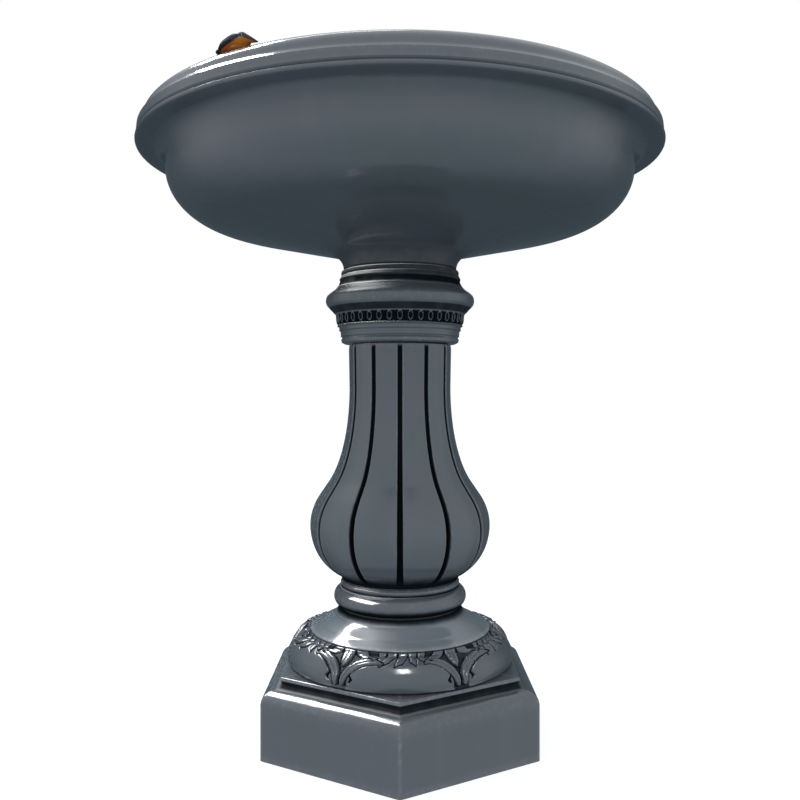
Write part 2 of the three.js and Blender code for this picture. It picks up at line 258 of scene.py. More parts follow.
def capital_outline():
    foot = bottom("capital")
    up = [
        (44, 0), (48, 0), (48, 6), (66.5, 6), (69.8, 7.7), (70.6, 10.7), (69.2, 13.4), (71, 14.7),
        (71.2, 20.5), (73, 21.9), (72.8, 25.3), (75.2, 27.1), (76.6, 32.7), (77.4, 41.1), (79.4, 43.1),
        *curve([(87.6, 51.9), (88.8, 56.2), (87.8, 61.7), (84.4, 65.3)], 4),
        *curve([(77.6, 70.3), (73.6, 75.7), (71.8, 80.3)], 4),
        (72.6, 82.7), (70.8, 86.3), (69.2, 87.1), (70.6, 89.1), (70.2, 92.1), (67.4, 93.3),
        (56, 93.3), (56, 105.3), (50, 105.3), (50, 84.7), (61, 74.7), (76, 61.7), (76, 54.7),
        (67, 43.7), (40, 43.7), (40, 34.7), (64, 30.7), (62, 15.7), (44, 11.7),
    ]
    return standing(up, foot, 1.6)


def shaft_outline():
    foot, head = bottom("shaft"), top("shaft")
    belly = arc(50, 68.1, 57, 62, -66, 0, 20) + arc(0, 68.1, 107, 81, 0, 26.4, 14)[1:]
    waist = arc(106, 232.1, 46, 126, 240.5, 180, 30)
    outside = [*belly, *waist, (60.8, 280.7)]
    inside = curve([
        (48.8, 222.1), (50.5, 184.1), (56, 155.1), (66, 130.1), (80, 105.1), (90, 84.1), (91.5, 66.1),
        (88, 46.1), (76, 27.1), (58, 12.1),
    ], 4)
    points = [(56, 0), (56, 6), (69, 6), *outside, (60.8, head - foot), (48.8, head - foot), *inside,
              (50, 8.1), (50, 0)]
    return standing(points, foot, 3.2)


def collar_outline():
    foot, head = bottom("collar_ring"), top("collar_ring")
    points = [
        (50, 0), (54, 0), (54, 6), (61, 6), *arc(66.6, 18.6, 12.4, 12.2, -78, 72, 20),
        (69.2, 31.5), (70.8, 33.2), (71, 35.8), (69, head - foot), (57, head - foot), (57, 32),
        *curve([(64, 26.6), (68, 18.6), (64, 11.6)], 4), (50, 8.6),
    ]
    return standing(points, foot, 2.5)


def dome_outline():
    foot, head = bottom("base_dome"), top("base_dome")
    points = [
        (94, 0), (98, 0), (98, 6.5), (106.4, 6.5), (107.2, 7.4), (106.4, 8.4), (103, 10.1), (95.4, 13.8),
        *curve([(94.6, 14.6), (84.3, 20), (78, 24.5), (73.4, 30.2)], 6),
        (73.4, head - foot), (54.6, head - foot), (54.6, 23.7),
        *curve([(66, 19.2), (78, 14.7), (90, 8.2), (94, 5.7)], 4),
    ]
    return standing(points, foot, 2.5)


LEAF_TORUS = (108, 8.4, 26.4, 26.5)  # radius and height of its middle above the foot, and its two radii
LEAF_LOW, LEAF_HIGH = -17, 90  # degrees up the torus
LEAF_STEPS = 110


def leaf_outline():
    foot = bottom("leaf_ring")
    r, z, radius_r, radius_z = LEAF_TORUS
    face = arc(r, z, radius_r, radius_z, LEAF_LOW, LEAF_HIGH, LEAF_STEPS)
    inside = [(98.6, face[-1][1]), (98.6, 26.4), (110, 22.4), (120, 15.4), (123, 7.4), (118, 0)]
    return np.array([(a, foot + b) for a, b in [(130, 0), *face, *inside]])


PLINTH_FILLET = 1.8  # of the upright arrises
PLINTH_CORNER = 177  # radius to an arris
PLINTH_HOLE = 60  # radius of the hole in the top plate


def plinth_outline():
    corner, high = PLINTH_CORNER, top("plinth")
    points = [
        (156, 0), (corner, 0), (corner, 62.7),
        *curve([(176, 66.5), (173, 70.4), (167, 74.2), (160, 75.6)], 4), (153.6, 76.4),
        *curve([(151.6, 79.4), (152.2, 82.6), (154.4, 85)], 4), (152.6, high),
        (PLINTH_HOLE, high), (PLINTH_HOLE, high - 8), (145, high - 8), (146, 73), (156, 66), (168, 57),
        (168, 9), (156, 6),
    ]
    return standing(points, 0, 9, 1.3)


# ---------------------------------------------------------------- castings

def shaded(seen, dark=0.10, light=0.52):
    """Turns a share of open sky into painted shade, with the crevices painted fully dark."""
    return smoothstep(seen, dark, light)


def make_plinth(outline, seen):
    """Six sides with slightly rounded arrises, and a round hole in the top plate."""
    arc_steps, side_steps = 3, 14
    round_plate = PLINTH_HOLE + 30  # inside this radius the rings are circles

    def on_fillet(turn, bend):
        """Across and away from the front, on the fillet of the arris at `turn`."""
        return (middle * math.sin(turn) + fillet * math.sin(bend),
                -middle * math.cos(turn) - fillet * math.cos(bend))

    rings = []
    arris = []
    for radius, height in outline:
        fillet = min(PLINTH_FILLET, radius / 4)
        middle = radius - fillet / math.cos(math.pi / 6)
        ring = []
        near = []
        for k in range(6):
            turn = k * math.pi / 3
            bend = turn + np.radians(np.linspace(-30, 30, 2 * arc_steps + 1))
            ring += [on_fillet(turn, b) for b in bend]
            near += [1.0] * len(bend)
            later = turn + math.pi / 3
            first = np.array(ring[-1])
            last = np.array(on_fillet(later, later - math.pi / 6))
            share = (1 - np.cos(np.linspace(0, math.pi, side_steps + 1)[1:-1])) / 2
            ring += [tuple(first + (last - first) * t) for t in share]
            near += [0.0] * len(share)
        ring = np.array(ring)
        if radius < round_plate:
            ring *= radius / np.linalg.norm(ring, axis=1)[:, None]
        rings.append(np.column_stack([ring, np.full(len(ring), height)]))
        arris.append(near)
    arris = np.array(arris)
    arris[outline[:, 0] < round_plate] = 0
    edge = np.maximum(crest(outline)[:, None] * 0.7, arris)
    radius, height = outline.T
    # Painted shade: the cove under the top moulding is painted dark, and kept free of wear.
    cove_shade = smoothstep(height, 74.6, 76.4) * (1 - smoothstep(height, 83.8, 85.4)) * (radius > 150)
    shade = np.repeat((seen * (1 - 0.72 * cove_shade))[:, None], arris.shape[1], axis=1)
    edge *= (1 - cove_shade)[:, None]
    return woven("plinth_casting", np.array(rings), {"shade": shade, "wear": edge})


def stroke(x, y, path):
    """Distance share across a tapering stroke (0 on its middle line, 1 on its edge), the distance past its
    edge and the length so far, in millimetres."""
    best = np.full(x.shape, 9.0)
    past = np.full(x.shape, 99.0)
    run = np.zeros(x.shape)
    length = 0.0
    for (ax, ay, aw), (bx, by, bw) in zip(path, path[1:]):
        dx, dy = bx - ax, by - ay
        size = math.hypot(dx, dy)
        t = np.clip(((x - ax) * dx + (y - ay) * dy) / size**2, 0, 1)
        width = aw + (bw - aw) * t
        far = np.hypot(x - ax - t * dx, y - ay - t * dy)
        closer = far / width < best
        best = np.where(closer, far / width, best)
        past = np.minimum(past, far - width)
        run = np.where(closer, length + t * size, run)
        length += size
    return best, past, run


# Leaves of a bay: (degrees from the boss's middle, degrees up the torus, half width in mm). The two long
# ones curl over the boss from either side, the crown stands between bays, and the tips hang over the boss.
LONG_LEAVES = [
    [(28.2, -6, 2.6), (27.5, 14, 4.2), (25.5, 34, 5.6), (22.6, 49, 6.2), (18.8, 58, 5.8), (15.2, 60, 4.2),
     (12.6, 53, 1.3)],
    [(-28.2, -6, 2.6), (-27.4, 14, 4.2), (-25.2, 34, 5.6), (-21.8, 48, 6.2), (-17.2, 56, 5.6),
     (-12.6, 56, 4.0), (-8.6, 50, 0.9)],
]
CROWN = [(30, 40, 0.8), (30, 54, 4.4), (30, 70, 6.6), (30, 92, 7.6)]
CROWN_LEFT = [(-a, t, w) for a, t, w in CROWN]
SIDE_LOBES = [
    [(23.6, 94, 4.4), (20.8, 82, 4.2), (17.0, 77, 2.2)],
    [(-23.6, 94, 4.4), (-20, 82, 4.2), (-15.6, 75, 2.2)],
]
TIPS = [
    [(-9.8, 94, 4.8), (-10.0, 82, 3.4), (-11.8, 69, 0.6)],
    [(-4.0, 94, 5.6), (-4.9, 76, 4.2), (-6.8, 60, 3.8), (-9.8, 43, 0.5)],
    [(1.8, 94, 5.6), (1.4, 74, 4.2), (0.1, 58, 3.8), (-2.4, 44, 0.5)],
    [(7.2, 94, 5.0), (6.4, 76, 3.6), (6.6, 60, 3.4), (7.8, 47, 0.5)],
    [(12.4, 94, 4.6), (11.4, 80, 3.4), (11.6, 66, 3.0), (14.2, 53, 0.5)],
]
HOOKS = [
    [(24.4, -2, 0.7), (23.4, 6, 2.0), (24.6, 17, 1.0)],
    [(-24.4, -2, 0.7), (-23.4, 6, 2.0), (-24.6, 17, 1.0)],
]
EYES = [[(16.6, 62, 1.2), (15.4, 62.5, 1.2)], [(-14.6, 60, 0.9), (-13.4, 60, 0.9)]]


def leaf_relief(angle, tilt):
    """Height in mm over the plain torus, and the share of open sky that sets its painted shade, at angles and
    tilts in degrees.
    """
    bay = 360 / LEAF_BAYS
    across = (angle + bay / 2) % bay - bay / 2
    mm_across, mm_up = 2.13, 0.4625  # millimetres in a degree, each way

    def scaled(path):
        return [(a * mm_across, t * mm_up, w) for a, t, w in path]

    x, y = across * mm_across, tilt * mm_up
    sunk = np.cos(np.radians(across) * 3) ** 2
    sunk = (1 - sunk) ** 3 * np.clip(np.sin(np.radians(2 * tilt)), 0, 1)
    ground = -3.6 - 4.4 * sunk
    pillow = (np.abs(across) / 26.2) ** 4 + (np.abs(np.maximum(tilt - 14, 0)) / 62) ** 4
    boss = np.clip(1 - pillow, 0, 1)
    height = ground - ground * boss ** 0.4
    # Painted shade: darker in the hollows between the bosses.
    seen = 0.30 + 0.70 * smoothstep(boss, 0, 0.14)
    leaves = [(path, 1.3, 0.0) for path in TIPS + SIDE_LOBES]
    leaves += [(CROWN, 2.8, 0.5), (CROWN_LEFT, 2.8, 0.5)]
    leaves += [(path, 3.4, 0.9) for path in LONG_LEAVES]
    # Painted shade: dark gutters beside each leaf, and darker along its vein and near its edges.
    for path, tall, crease in leaves:
        away, past, run = stroke(x, y, scaled(path))
        notched = away * (1 + 0.07 * np.sin(run * 1.4))
        body = np.clip(1 - notched**4, 0, 1) ** 0.5
        vein = np.exp(-(away / 0.13) ** 2)
        under = ground if crease else np.maximum(height, ground)
        leaf = under + tall * body - crease * vein * body
        gutter = 1 - smoothstep(past, 0.1, 1.5)
        beside = height - (1.3 + crease) * gutter
        inside = 1 - (0.5 if crease else 0.2) * vein - 0.4 * smoothstep(past, -0.9, 0)
        outside = seen * smoothstep(past, 0.3, 1.7)
        height = np.where(away < 1, leaf, beside)
        seen = np.where(away < 1, inside, outside)
    # Painted shade: near-black in the sunk hooks and eyes.
    for path in HOOKS + EYES:
        away = stroke(x, y, scaled(path))[0]
        pit = 1 - smoothstep(away, 0.6, 1.15)
        height = height - 2.4 * pit
        seen = seen * (1 - 0.95 * pit)
    return height, seen


def make_leaf_ring(outline, seen):
    columns = LEAF_BAYS * 220
    angle = np.arange(columns) * 2 * math.pi / columns
    tilt = np.full(len(outline), np.nan)
    tilt[1:2 + LEAF_STEPS] = np.linspace(LEAF_LOW, LEAF_HIGH, LEAF_STEPS + 1)
    height, open_sky = leaf_relief(np.degrees(angle)[None, :], np.nan_to_num(tilt)[:, None])
    on_face = (~np.isnan(tilt))[:, None]
    fade = smoothstep(tilt, LEAF_LOW, LEAF_LOW + 4)[:, None] * (1 - smoothstep(tilt, 84, LEAF_HIGH))[:, None]
    rise = np.where(on_face, height * np.nan_to_num(fade), 0)
    slope = np.radians(np.nan_to_num(tilt))[:, None]
    radius = outline[:, :1] + rise * np.cos(slope)
    level = outline[:, 1:] + rise * np.sin(slope)
    shade = seen[:, None] * np.where(on_face, open_sky, 1)
    edge = np.where(on_face, 0.3 * smoothstep(height, 0.4, 2.0), 0)
    return woven("leaf_ring_casting", polar(radius, angle, level), {"shade": shade, "wear": edge}, 80)


def make_shaft(outline, seen):
    """Twelve panels with raised edges, parted by sharp-sided grooves."""
    low, high = bottom("shaft"), top("shaft")
    pitch = 2 * math.pi / PANELS
    radius, height = outline[:, :1], outline[:, 1:]
    outer = radius > np.interp(height, [low, low + 40, low + 70, low + 130, low + 190, high],
                               [62, 90, 98, 68, 56, 54])
    swell = 1 - smoothstep(height, low + 70, low + 190)
    half = 2.5 + 0.5 * swell + 0.5 * (1 - smoothstep(height, low + 15, low + 60))
    depth = 3.6 + 5.2 * swell
    ends = smoothstep(height, low + 7, low + 22) * (1 - smoothstep(height, high - 3.5, high - 1))
    depth = np.where(outer, depth * ends, 0)
    # Points from a groove's middle to past its edge: share of its half width, millimetres beyond that,
    # share of its depth, millimetres raised, share of open sky left by the groove's painted shade, and wear.
    cuts = np.array([0, 0.5, 0.84, 1.0, 1.0, 1.0, 1.0, 1.0])
    more = np.array([0, 0, 0, 0, 0.45, 1.1, 2.2, 3.8])
    sunk = np.array([1, 0.96, 0.8, 0.22, 0.05, 0, 0, 0])
    raised = np.array([0, 0, 0, 0, 0.3, 0.55, 0.45, 0.12])
    dark = np.array([0, 0, 0.03, 0.3, 0.8, 1, 1, 1])
    worn = np.array([0, 0, 0, 0.5, 1, 0.5, 0, 0])
    # Painted shadow: the bulb darkens towards its foot in the collar.
    foot_shadow = 0.12 + 0.88 * smoothstep(height, low + 5, low + 38)
    spare = 5  # points from there to the panel's middle
    away = half * cuts + more
    turn = np.concatenate([
        away / radius,
        away[:, -1:] / radius + (pitch / 2 - away[:, -1:] / radius) * np.arange(1, spare + 1) / spare,
    ], axis=1)
    wide = len(cuts) + spare
    pad = np.zeros(spare)
    drop = np.concatenate([sunk, pad]) * depth
    lift = np.concatenate([raised, pad]) * np.where(outer, ends, 0)
    level = np.minimum(depth / 3.6, 1)
    open_sky = 1 - (1 - np.concatenate([dark, pad + 1])) * level
    edge = np.concatenate([worn, pad]) * level
    mirror = np.arange(wide - 2, 0, -1)

    def all_round(half_panel):
        return np.tile(np.concatenate([half_panel, half_panel[:, mirror]], axis=1), PANELS)

    turn = np.concatenate([turn, pitch - turn[:, mirror]], axis=1)
    angle = np.concatenate([turn + k * pitch for k in range(PANELS)], axis=1)
    rings = polar(radius + all_round(lift - drop), angle, height)
    shade = seen[:, None] * foot_shadow * all_round(open_sky)
    edge = np.maximum(all_round(edge), crest(outline)[:, None] * 0.6)
    return woven("shaft_casting", rings, {"shade": shade, "wear": edge}, 60)


def make_capital(outline, seen):
    """Its middle band carries eggs in open cups, with a dart between each two."""
    foot = bottom("capital")
    band_low, band_high = foot + 27.4, foot + 41
    pitch = 360 / EGGS
    mm_across = 1.34  # millimetres in a degree
    columns = EGGS * 14
    angle = np.arange(columns) * 2 * math.pi / columns
    height = outline[:, 1:]
    on_band = (outline[:, :1] > 70) & (height > band_low) & (height < band_high)
    x = ((np.degrees(angle) + pitch / 2) % pitch - pitch / 2)[None, :] * mm_across
    y = height - (band_low + band_high) / 2 - 0.6
    oval = np.sqrt((x / 2.9) ** 2 + (y / 4.9) ** 2)
    rim = 2.3 * np.clip(1 - ((oval - 0.94) / 0.26) ** 2, 0, 1) ** 0.5
    egg = 1.2 * np.sqrt(np.clip(1 - (x / 1.2) ** 2 - (y / 3.2) ** 2, 0, 1))
    beside = pitch / 2 * mm_across - np.abs(x)
    dart = 1.3 * np.clip(1 - beside / (0.35 + 0.05 * (y + 6)), 0, 1)
    relief = np.maximum(np.maximum(egg, rim), dart)
    fade = smoothstep(height, band_low, band_low + 1) * (1 - smoothstep(height, band_high - 1, band_high))
    radius = outline[:, :1] + np.where(on_band, (relief - 2.4) * fade, 0)
    # Painted shade: the cups round the eggs are painted darker than the eggs, rims and darts.
    shade = seen[:, None] * np.where(on_band, 1 - (1 - 0.72 * smoothstep(relief, 1.0, 2.3)) * fade, 1)
    # Painted shade under the torus (hood), in the scotia and over the neck, where wear is also kept low.
    up = outline[:, 1] - foot
    outer = outline[:, 0] > 66
    hood = smoothstep(up, 40.4, 42) * (1 - smoothstep(up, 48.2, 51)) * outer
    scotia = smoothstep(up, 70, 75) * (1 - smoothstep(up, 80, 82)) * outer
    neck = smoothstep(up, 80, 82) * outer
    shade = shade * (1 - 0.68 * hood - 0.8 * scotia - 0.6 * neck)[:, None]
    rim_wear = np.where(on_band, 0.5 * smoothstep(relief, 1.9, 2.3) * fade, 0)
    edge = np.maximum(crest(outline)[:, None] * 0.7, rim_wear) * (1 - 0.8 * neck)[:, None]
    return woven("capital_casting", polar(radius, angle, height), {"shade": shade, "wear": edge}, 70)


# ---------------------------------------------------------------- the bird

def ball_points(around=24, up=14):
    """A unit ball: a vertex at each pole and rings between them, with its faces as index lists."""
    lat = np.radians(np.linspace(-90, 90, up + 1))[1:-1, None]
    lon = np.arange(around)[None, :] * 2 * math.pi / around
    x, y = np.cos(lat) * np.cos(lon), np.cos(lat) * np.sin(lon)
    rings = np.stack(np.broadcast_arrays(x, y, np.sin(lat)), -1)
    points = np.concatenate([rings.reshape(-1, 3), [[0, 0, -1], [0, 0, 1]]])
    count = up - 1
    south, north = len(points) - 2, len(points) - 1
    faces = []
    for j in range(around):
        k = (j + 1) % around
        faces += [(i * around + j, i * around + k, (i + 1) * around + k, (i + 1) * around + j)
                  for i in range(count - 1)]
        faces += [(south, k, j), (north, (count - 1) * around + j, (count - 1) * around + k)]
    return points, faces


BALL, BALL_FACES = ball_points()


def blob(clay, centre, radii, rise=0.0, yaw=0.0):
    """Adds an ellipsoid, its +X end raised by `rise` degrees and turned by `yaw` degrees, in millimetres."""
    turn = Matrix.Rotation(math.radians(yaw), 3, "Z") @ Matrix.Rotation(-math.radians(rise), 3, "Y")
    clay.append(BALL * np.array(radii) @ np.array(turn).T + np.array(centre))


def limb(clay, start, end, thick, thin, steps=10):
    """Adds a tapering rod with round ends between two points, in millimetres."""
    start, end = np.array(start, float), np.array(end, float)
    for t in np.linspace(0, 1, steps + 1):
        radius = thick + (thin - thick) * t
        blob(clay, start + (end - start) * t, (radius, radius, radius))


def clay_mesh(name, clay):
    """One mesh of all the balls."""
    faces = [tuple(v + i * len(BALL) for v in face) for i in range(len(clay)) for face in BALL_FACES]
    mesh = bpy.data.meshes.new(name)
    mesh.from_pydata(np.concatenate(clay).tolist(), [], faces)
    return mesh


BIRD_STRETCH = 1.2  # the painted bird is a little longer than its plain core


def bird_place():
    """Where the bird's stud stands, at the height of the lip's crest."""
    low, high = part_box("bird_stud")
    return Vector(((low.x + high.x) / 2, (low.y + high.y) / 2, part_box("basin")[1].z + 0.3 * MM))


def astride_lip(x, y):
    """The lip's height under a point of the bird, both in the bird's own millimetres."""
    crest_radius = bird_place().to_2d().length / MM
    away = np.hypot(x, crest_radius - y) - crest_radius
    return np.interp(away, [-8.4, -5, 0, 6, 10.6, 13, 14.2], [-6.4, -1.5, 0, -3.1, -7.6, -11.9, -15.4])


def placed(piece):
    """Turns a piece of the bird along the lip and sets it there, in its vertices."""
    place = bird_place()
    heading = -math.atan2(-place.x, -place.y)
    c, s = math.cos(heading), math.sin(heading)
    for v in piece.data.vertices:
        x, y, z = v.co.x * BIRD_STRETCH, v.co.y, v.co.z
        v.co = (place.x + x * c - y * s, place.y + x * s + y * c, place.z + z)
    return piece


def plumage(x, y, z):
    """The enamel's colour at a point of the bird, in its own millimetres."""
    black = np.array([0.004, 0.005, 0.007])
    blue = np.array([0.010, 0.045, 0.095])
    slate = np.array([0.020, 0.034, 0.050])
    orange = np.array([0.30, 0.092, 0.003])
    rust = np.array([0.22, 0.050, 0.002])
    horn = np.array([0.030, 0.032, 0.028])
    flank = np.interp(x, [-20, -12, -5, 1, 6, 12, 17], [0.8, 2.0, 4.2, 7.0, 7.6, 4.2, 1.2])
    low = 1 - smoothstep(z, flank - 0.5, flank + 0.5)
    colour = black + (slate - black) * smoothstep(x, -5, 1)[:, None]
    patch = np.exp(-((x + 8.5) / 3.4) ** 2 - ((z - 8.6) / 1.6) ** 2)
    crown = np.exp(-((x + 0.5) / 3.6) ** 2 - ((z - 11) / 2.2) ** 2)
    colour = colour + (blue - colour) * np.clip(patch + crown, 0, 1)[:, None] * 0.9
    warm = rust + (orange - rust) * smoothstep(x + 0.8 * z, -9, 8)[:, None]
    colour = colour + (warm - colour) * low[:, None]
    tail = 1 - smoothstep(x, -19.6, -18.0)
    colour = colour + (black - colour) * tail[:, None]
    upper_bill = smoothstep(x, 4, 7) * smoothstep(z, flank - 0.6, flank + 0.4)
    bill = np.maximum(upper_bill, smoothstep(x, 15.6, 17.0))
    return colour + (horn - colour) * bill[:, None]


def make_bird():
    """One small enamelled casting: a crouching body, head, lowered bill, folded wings and tail."""
    clay = []
    blob(clay, (-6.3, 0, 5.4), (12.6, 6.4, 6.6), 15)
    blob(clay, (2.6, 0, 4.6), (8.2, 6.3, 6.6), 12)
    blob(clay, (1.8, 0, 8.4), (6.0, 5.3, 5.8))
    limb(clay, (4.6, 0, 8.0), (12.0, 0, 4.4), 4.4, 2.4)
    limb(clay, (12.0, 0, 4.4), (18.2, 0, 1.4), 2.4, 0.5)
    for side in (-1, 1):
        blob(clay, (-7.8, side * 4.9, 6.9), (10.6, 1.9, 4.2), 17, side * 5)
        blob(clay, (-14.6, side * 2.4, 4.9), (5.2, 1.3, 1.8), 14, side * -9)
    for feather in (-1, 0, 1):
        blob(clay, (-15.0, feather * 1.5, 3.6), (5.0, 1.4, 1.3), 8, feather * 5)
    blob(clay, (-16.6, 0, 3.0), (5.4, 2.8, 2.6))
    blob(clay, (-20.6, 0, 2.0), (3.2, 2.6, 2.6))
    blob(clay, (-2, 0, 0.4), (10.4, 5.6, 3.6))
    rough = add_object("bird_clay", clay_mesh("bird_clay", clay))
    remesh = rough.modifiers.new("one_skin", "REMESH")
    remesh.mode = "VOXEL"
    remesh.voxel_size = 0.3
    melt = rough.modifiers.new("melt", "SMOOTH")
    melt.factor = 0.5
    melt.iterations = 3
    evaluated = rough.evaluated_get(bpy.context.evaluated_depsgraph_get())
    skin = bpy.data.meshes.new_from_object(evaluated)
    bpy.data.objects.remove(rough)
    skin.name = "bird_casting"
    skin.materials.clear()
    co = np.zeros(len(skin.vertices) * 3)
    skin.vertices.foreach_get("co", co)
    co = co.reshape(-1, 3)
    co[:, 2] = np.maximum(co[:, 2], astride_lip(co[:, 0], co[:, 1]))
    x, y, z = co.T
    # Feather edges: shallow ridges along each wing.
    wing_rise = math.radians(17)
    along = x * math.cos(wing_rise) + z * math.sin(wing_rise)
    over = z * math.cos(wing_rise) - x * math.sin(wing_rise)
    wing = smoothstep(np.abs(y), 3.4, 4.6) * smoothstep(x, -18, -14) * (1 - smoothstep(x, -2, 3))
    wing *= smoothstep(z, 3.0, 5.0)
    ridge = 0.18 * np.sin(over * 3.4 + 0.35 * np.sin(along * 0.7)) * wing
    co[:, 1] += np.sign(y) * ridge
    skin.vertices.foreach_set("co", co.ravel())
    colours = np.ones((len(co), 4), np.float32)
    colours[:, :3] = plumage(x, y, z)
    attribute = skin.attributes.new("plumage", "FLOAT_COLOR", "POINT")
    attribute.data.foreach_set("color", colours.ravel())
    skin.transform(scale_matrix(MM))
    skin.shade_smooth()
    return placed(add_object("bird_casting", skin))


def scale_matrix(factor):
    return Matrix.Diagonal((factor, factor, factor, 1))


def make_bird_eyes():
    """Two glossy beads, half sunk in the head."""
    clay = []
    for side in (-1, 1):
        blob(clay, (5.3, side * 4.0, 9.4), (0.85, 0.7, 0.85))
    mesh = clay_mesh("bird_eyes", clay)
    mesh.transform(scale_matrix(MM))
    mesh.shade_smooth()
    return placed(add_object("bird_eyes", mesh))


# ---------------------------------------------------------------- materials

class Shader:
    """A material's nodes, made in a line each."""

    def __init__(self, name):
        self.material = bpy.data.materials.new(name)
        self.material.use_nodes = True
        self.nodes = self.material.node_tree.nodes
        self.links = self.material.node_tree.links
        self.surface = self.nodes["Principled BSDF"]
        self.place = self.add("ShaderNodeTexCoord").outputs["Object"]

    def add(self, kind, settings=None, **inputs):
        node = self.nodes.new(kind)
        for key, value in (settings or {}).items():
            setattr(node, key, value)
        for key, value in inputs.items():
            self.plug(node.inputs[int(key[1:]) if key[1:].isdigit() else key.replace("_", " ")], value)
        return node

    def plug(self, socket, value):
        if isinstance(value, bpy.types.NodeSocket):
            self.links.new(value, socket)
        elif hasattr(socket.default_value, "__len__") and len(value) < len(socket.default_value):
            socket.default_value = (*value, 1)
        else:
            socket.default_value = value

    def noise(self, scale, detail=3.0, roughness=0.5, stretch=None):
        vector = self.place
        if stretch:
            vector = self.add("ShaderNodeMapping", Vector=vector, Scale=stretch).outputs[0]
        made = self.add("ShaderNodeTexNoise", Vector=vector, Scale=scale, Detail=detail, Roughness=roughness)
        return made.outputs["Fac"]

    def ramp(self, value, low, high, new_low=0.0, new_high=1.0):
        made = self.add("ShaderNodeMapRange", {"interpolation_type": "SMOOTHSTEP"}, Value=value,
                        From_Min=low, From_Max=high, To_Min=new_low, To_Max=new_high)
        return made.outputs[0]

    def maths(self, operation, a, b):
        return self.add("ShaderNodeMath", {"operation": operation}, _0=a, _1=b).outputs[0]

    def mix(self, share, a, b):
        return self.add("ShaderNodeMix", {"data_type": "RGBA"}, _0=share, _6=a, _7=b).outputs[2]

    def between(self, share, a, b):
        return self.add("ShaderNodeMix", {"data_type": "FLOAT"}, _0=share, _2=a, _3=b).outputs[0]

    def layer(self, name):
        return self.add("ShaderNodeAttribute", {"attribute_name": name}).outputs["Fac"]

    def bump(self, height, strength, distance, normal=None):
        made = self.add("ShaderNodeBump", Height=height, Strength=strength, Distance=distance)
        if normal is not None:
            self.plug(made.inputs["Normal"], normal)
        return made.outputs[0]

    def done(self, **inputs):
        for key, value in inputs.items():
            self.plug(self.surface.inputs[key.replace("_", " ")], value)
        return self.material


def slate_paint():
    """Old gloss enamel on cast iron: grey-blue with greener clouds and thin on edges; painted shade turns it
    black and dull in the crevices.
    """
    s = Shader("slate_paint")
    clouds = s.ramp(s.noise(7, 3), 0.38, 0.62)
    drift = s.ramp(s.noise(3.2, 2), 0.35, 0.65)
    streak = s.ramp(s.noise(1, 4, 0.6, (34, 34, 3.0)), 0.45, 0.75)
    grain = s.noise(420, 2)
    paint = s.mix(clouds, (0.078, 0.091, 0.108), (0.070, 0.092, 0.098))
    paint = s.mix(s.maths("MULTIPLY", drift, 0.35), paint, (0.092, 0.098, 0.118))
    paint = s.mix(s.maths("MULTIPLY", streak, 0.16), paint, (0.115, 0.125, 0.132))
    worn_spots = s.ramp(s.noise(160, 4, 0.65), 0.50, 0.62)
    wear = s.layer("wear")
    worn = s.maths("MULTIPLY", wear, s.maths("ADD", 0.22, s.maths("MULTIPLY", worn_spots, 0.30)))
    paint = s.mix(worn, paint, (0.20, 0.215, 0.23))
    # Painted shade: the "shade" layer mixes the paint towards near-black, rough and unreflecting, where the
    # outline sees little open sky.
    painted_shade = s.ramp(s.layer("shade"), 0.0, 1.0)
    patchy = s.maths("ADD", painted_shade, s.maths("MULTIPLY", s.maths("SUBTRACT", s.noise(60, 3), 0.5), 0.22))
    out_of_shade = s.ramp(patchy, 0.05, 0.85)
    colour = s.mix(out_of_shade, (0.0045, 0.0075, 0.0105), paint)
    gloss = s.maths("ADD", 0.09, s.maths("MULTIPLY", s.noise(30, 3), 0.09))
    rough = s.between(out_of_shade, 0.7, gloss)
    shine = s.between(out_of_shade, 0.0, 0.5)
    peel = s.bump(s.noise(260, 2), 0.06, 0.0006)
    casting = s.bump(s.noise(38, 3), 0.22, 0.0014, peel)
    pits = s.bump(s.ramp(grain, 0.30, 0.36), 0.06, 0.0004, casting)
    return s.done(Base_Color=colour, Roughness=rough, Specular_IOR_Level=shine, Normal=pits)


def bird_enamel():
    s = Shader("bird_enamel")
    base = s.add("ShaderNodeAttribute", {"attribute_name": "plumage"}).outputs["Color"]
    feathers = s.noise(1, 4, 0.6, (700, 1900, 1100))
    flecks = s.ramp(feathers, 0.35, 0.7)
    light = s.add("ShaderNodeHueSaturation", Value=1.3, Color=base).outputs[0]
    colour = s.mix(s.maths("MULTIPLY", flecks, 0.5), base, light)
    rough = s.ramp(s.noise(500, 3), 0.3, 0.7, 0.5, 0.7)
    return s.done(Base_Color=colour, Roughness=rough, Specular_IOR_Level=0.12,
                  Normal=s.bump(feathers, 0.5, 0.0004))


def eye_enamel():
    s = Shader("eye_enamel")
    colour = s.mix(s.noise(900, 2), (0.002, 0.002, 0.003), (0.010, 0.008, 0.006))
    return s.done(Base_Color=colour, Roughness=s.ramp(s.noise(600, 2), 0, 1, 0.04, 0.10))


def metal(name, bright, dull, scale, low_rough, high_rough):
    """A bare metal with tarnished patches and fine turning marks."""
    s = Shader(name)
    tarnish = s.ramp(s.noise(scale, 5, 0.6), 0.42, 0.66)
    marks = s.noise(1, 2, 0.5, (90, 90, 2600))
    colour = s.mix(tarnish, bright, dull)
    rough = s.between(tarnish, low_rough, high_rough)
    return s.done(Base_Color=colour, Roughness=rough, Metallic=1.0, Normal=s.bump(marks, 0.12, 0.0002))


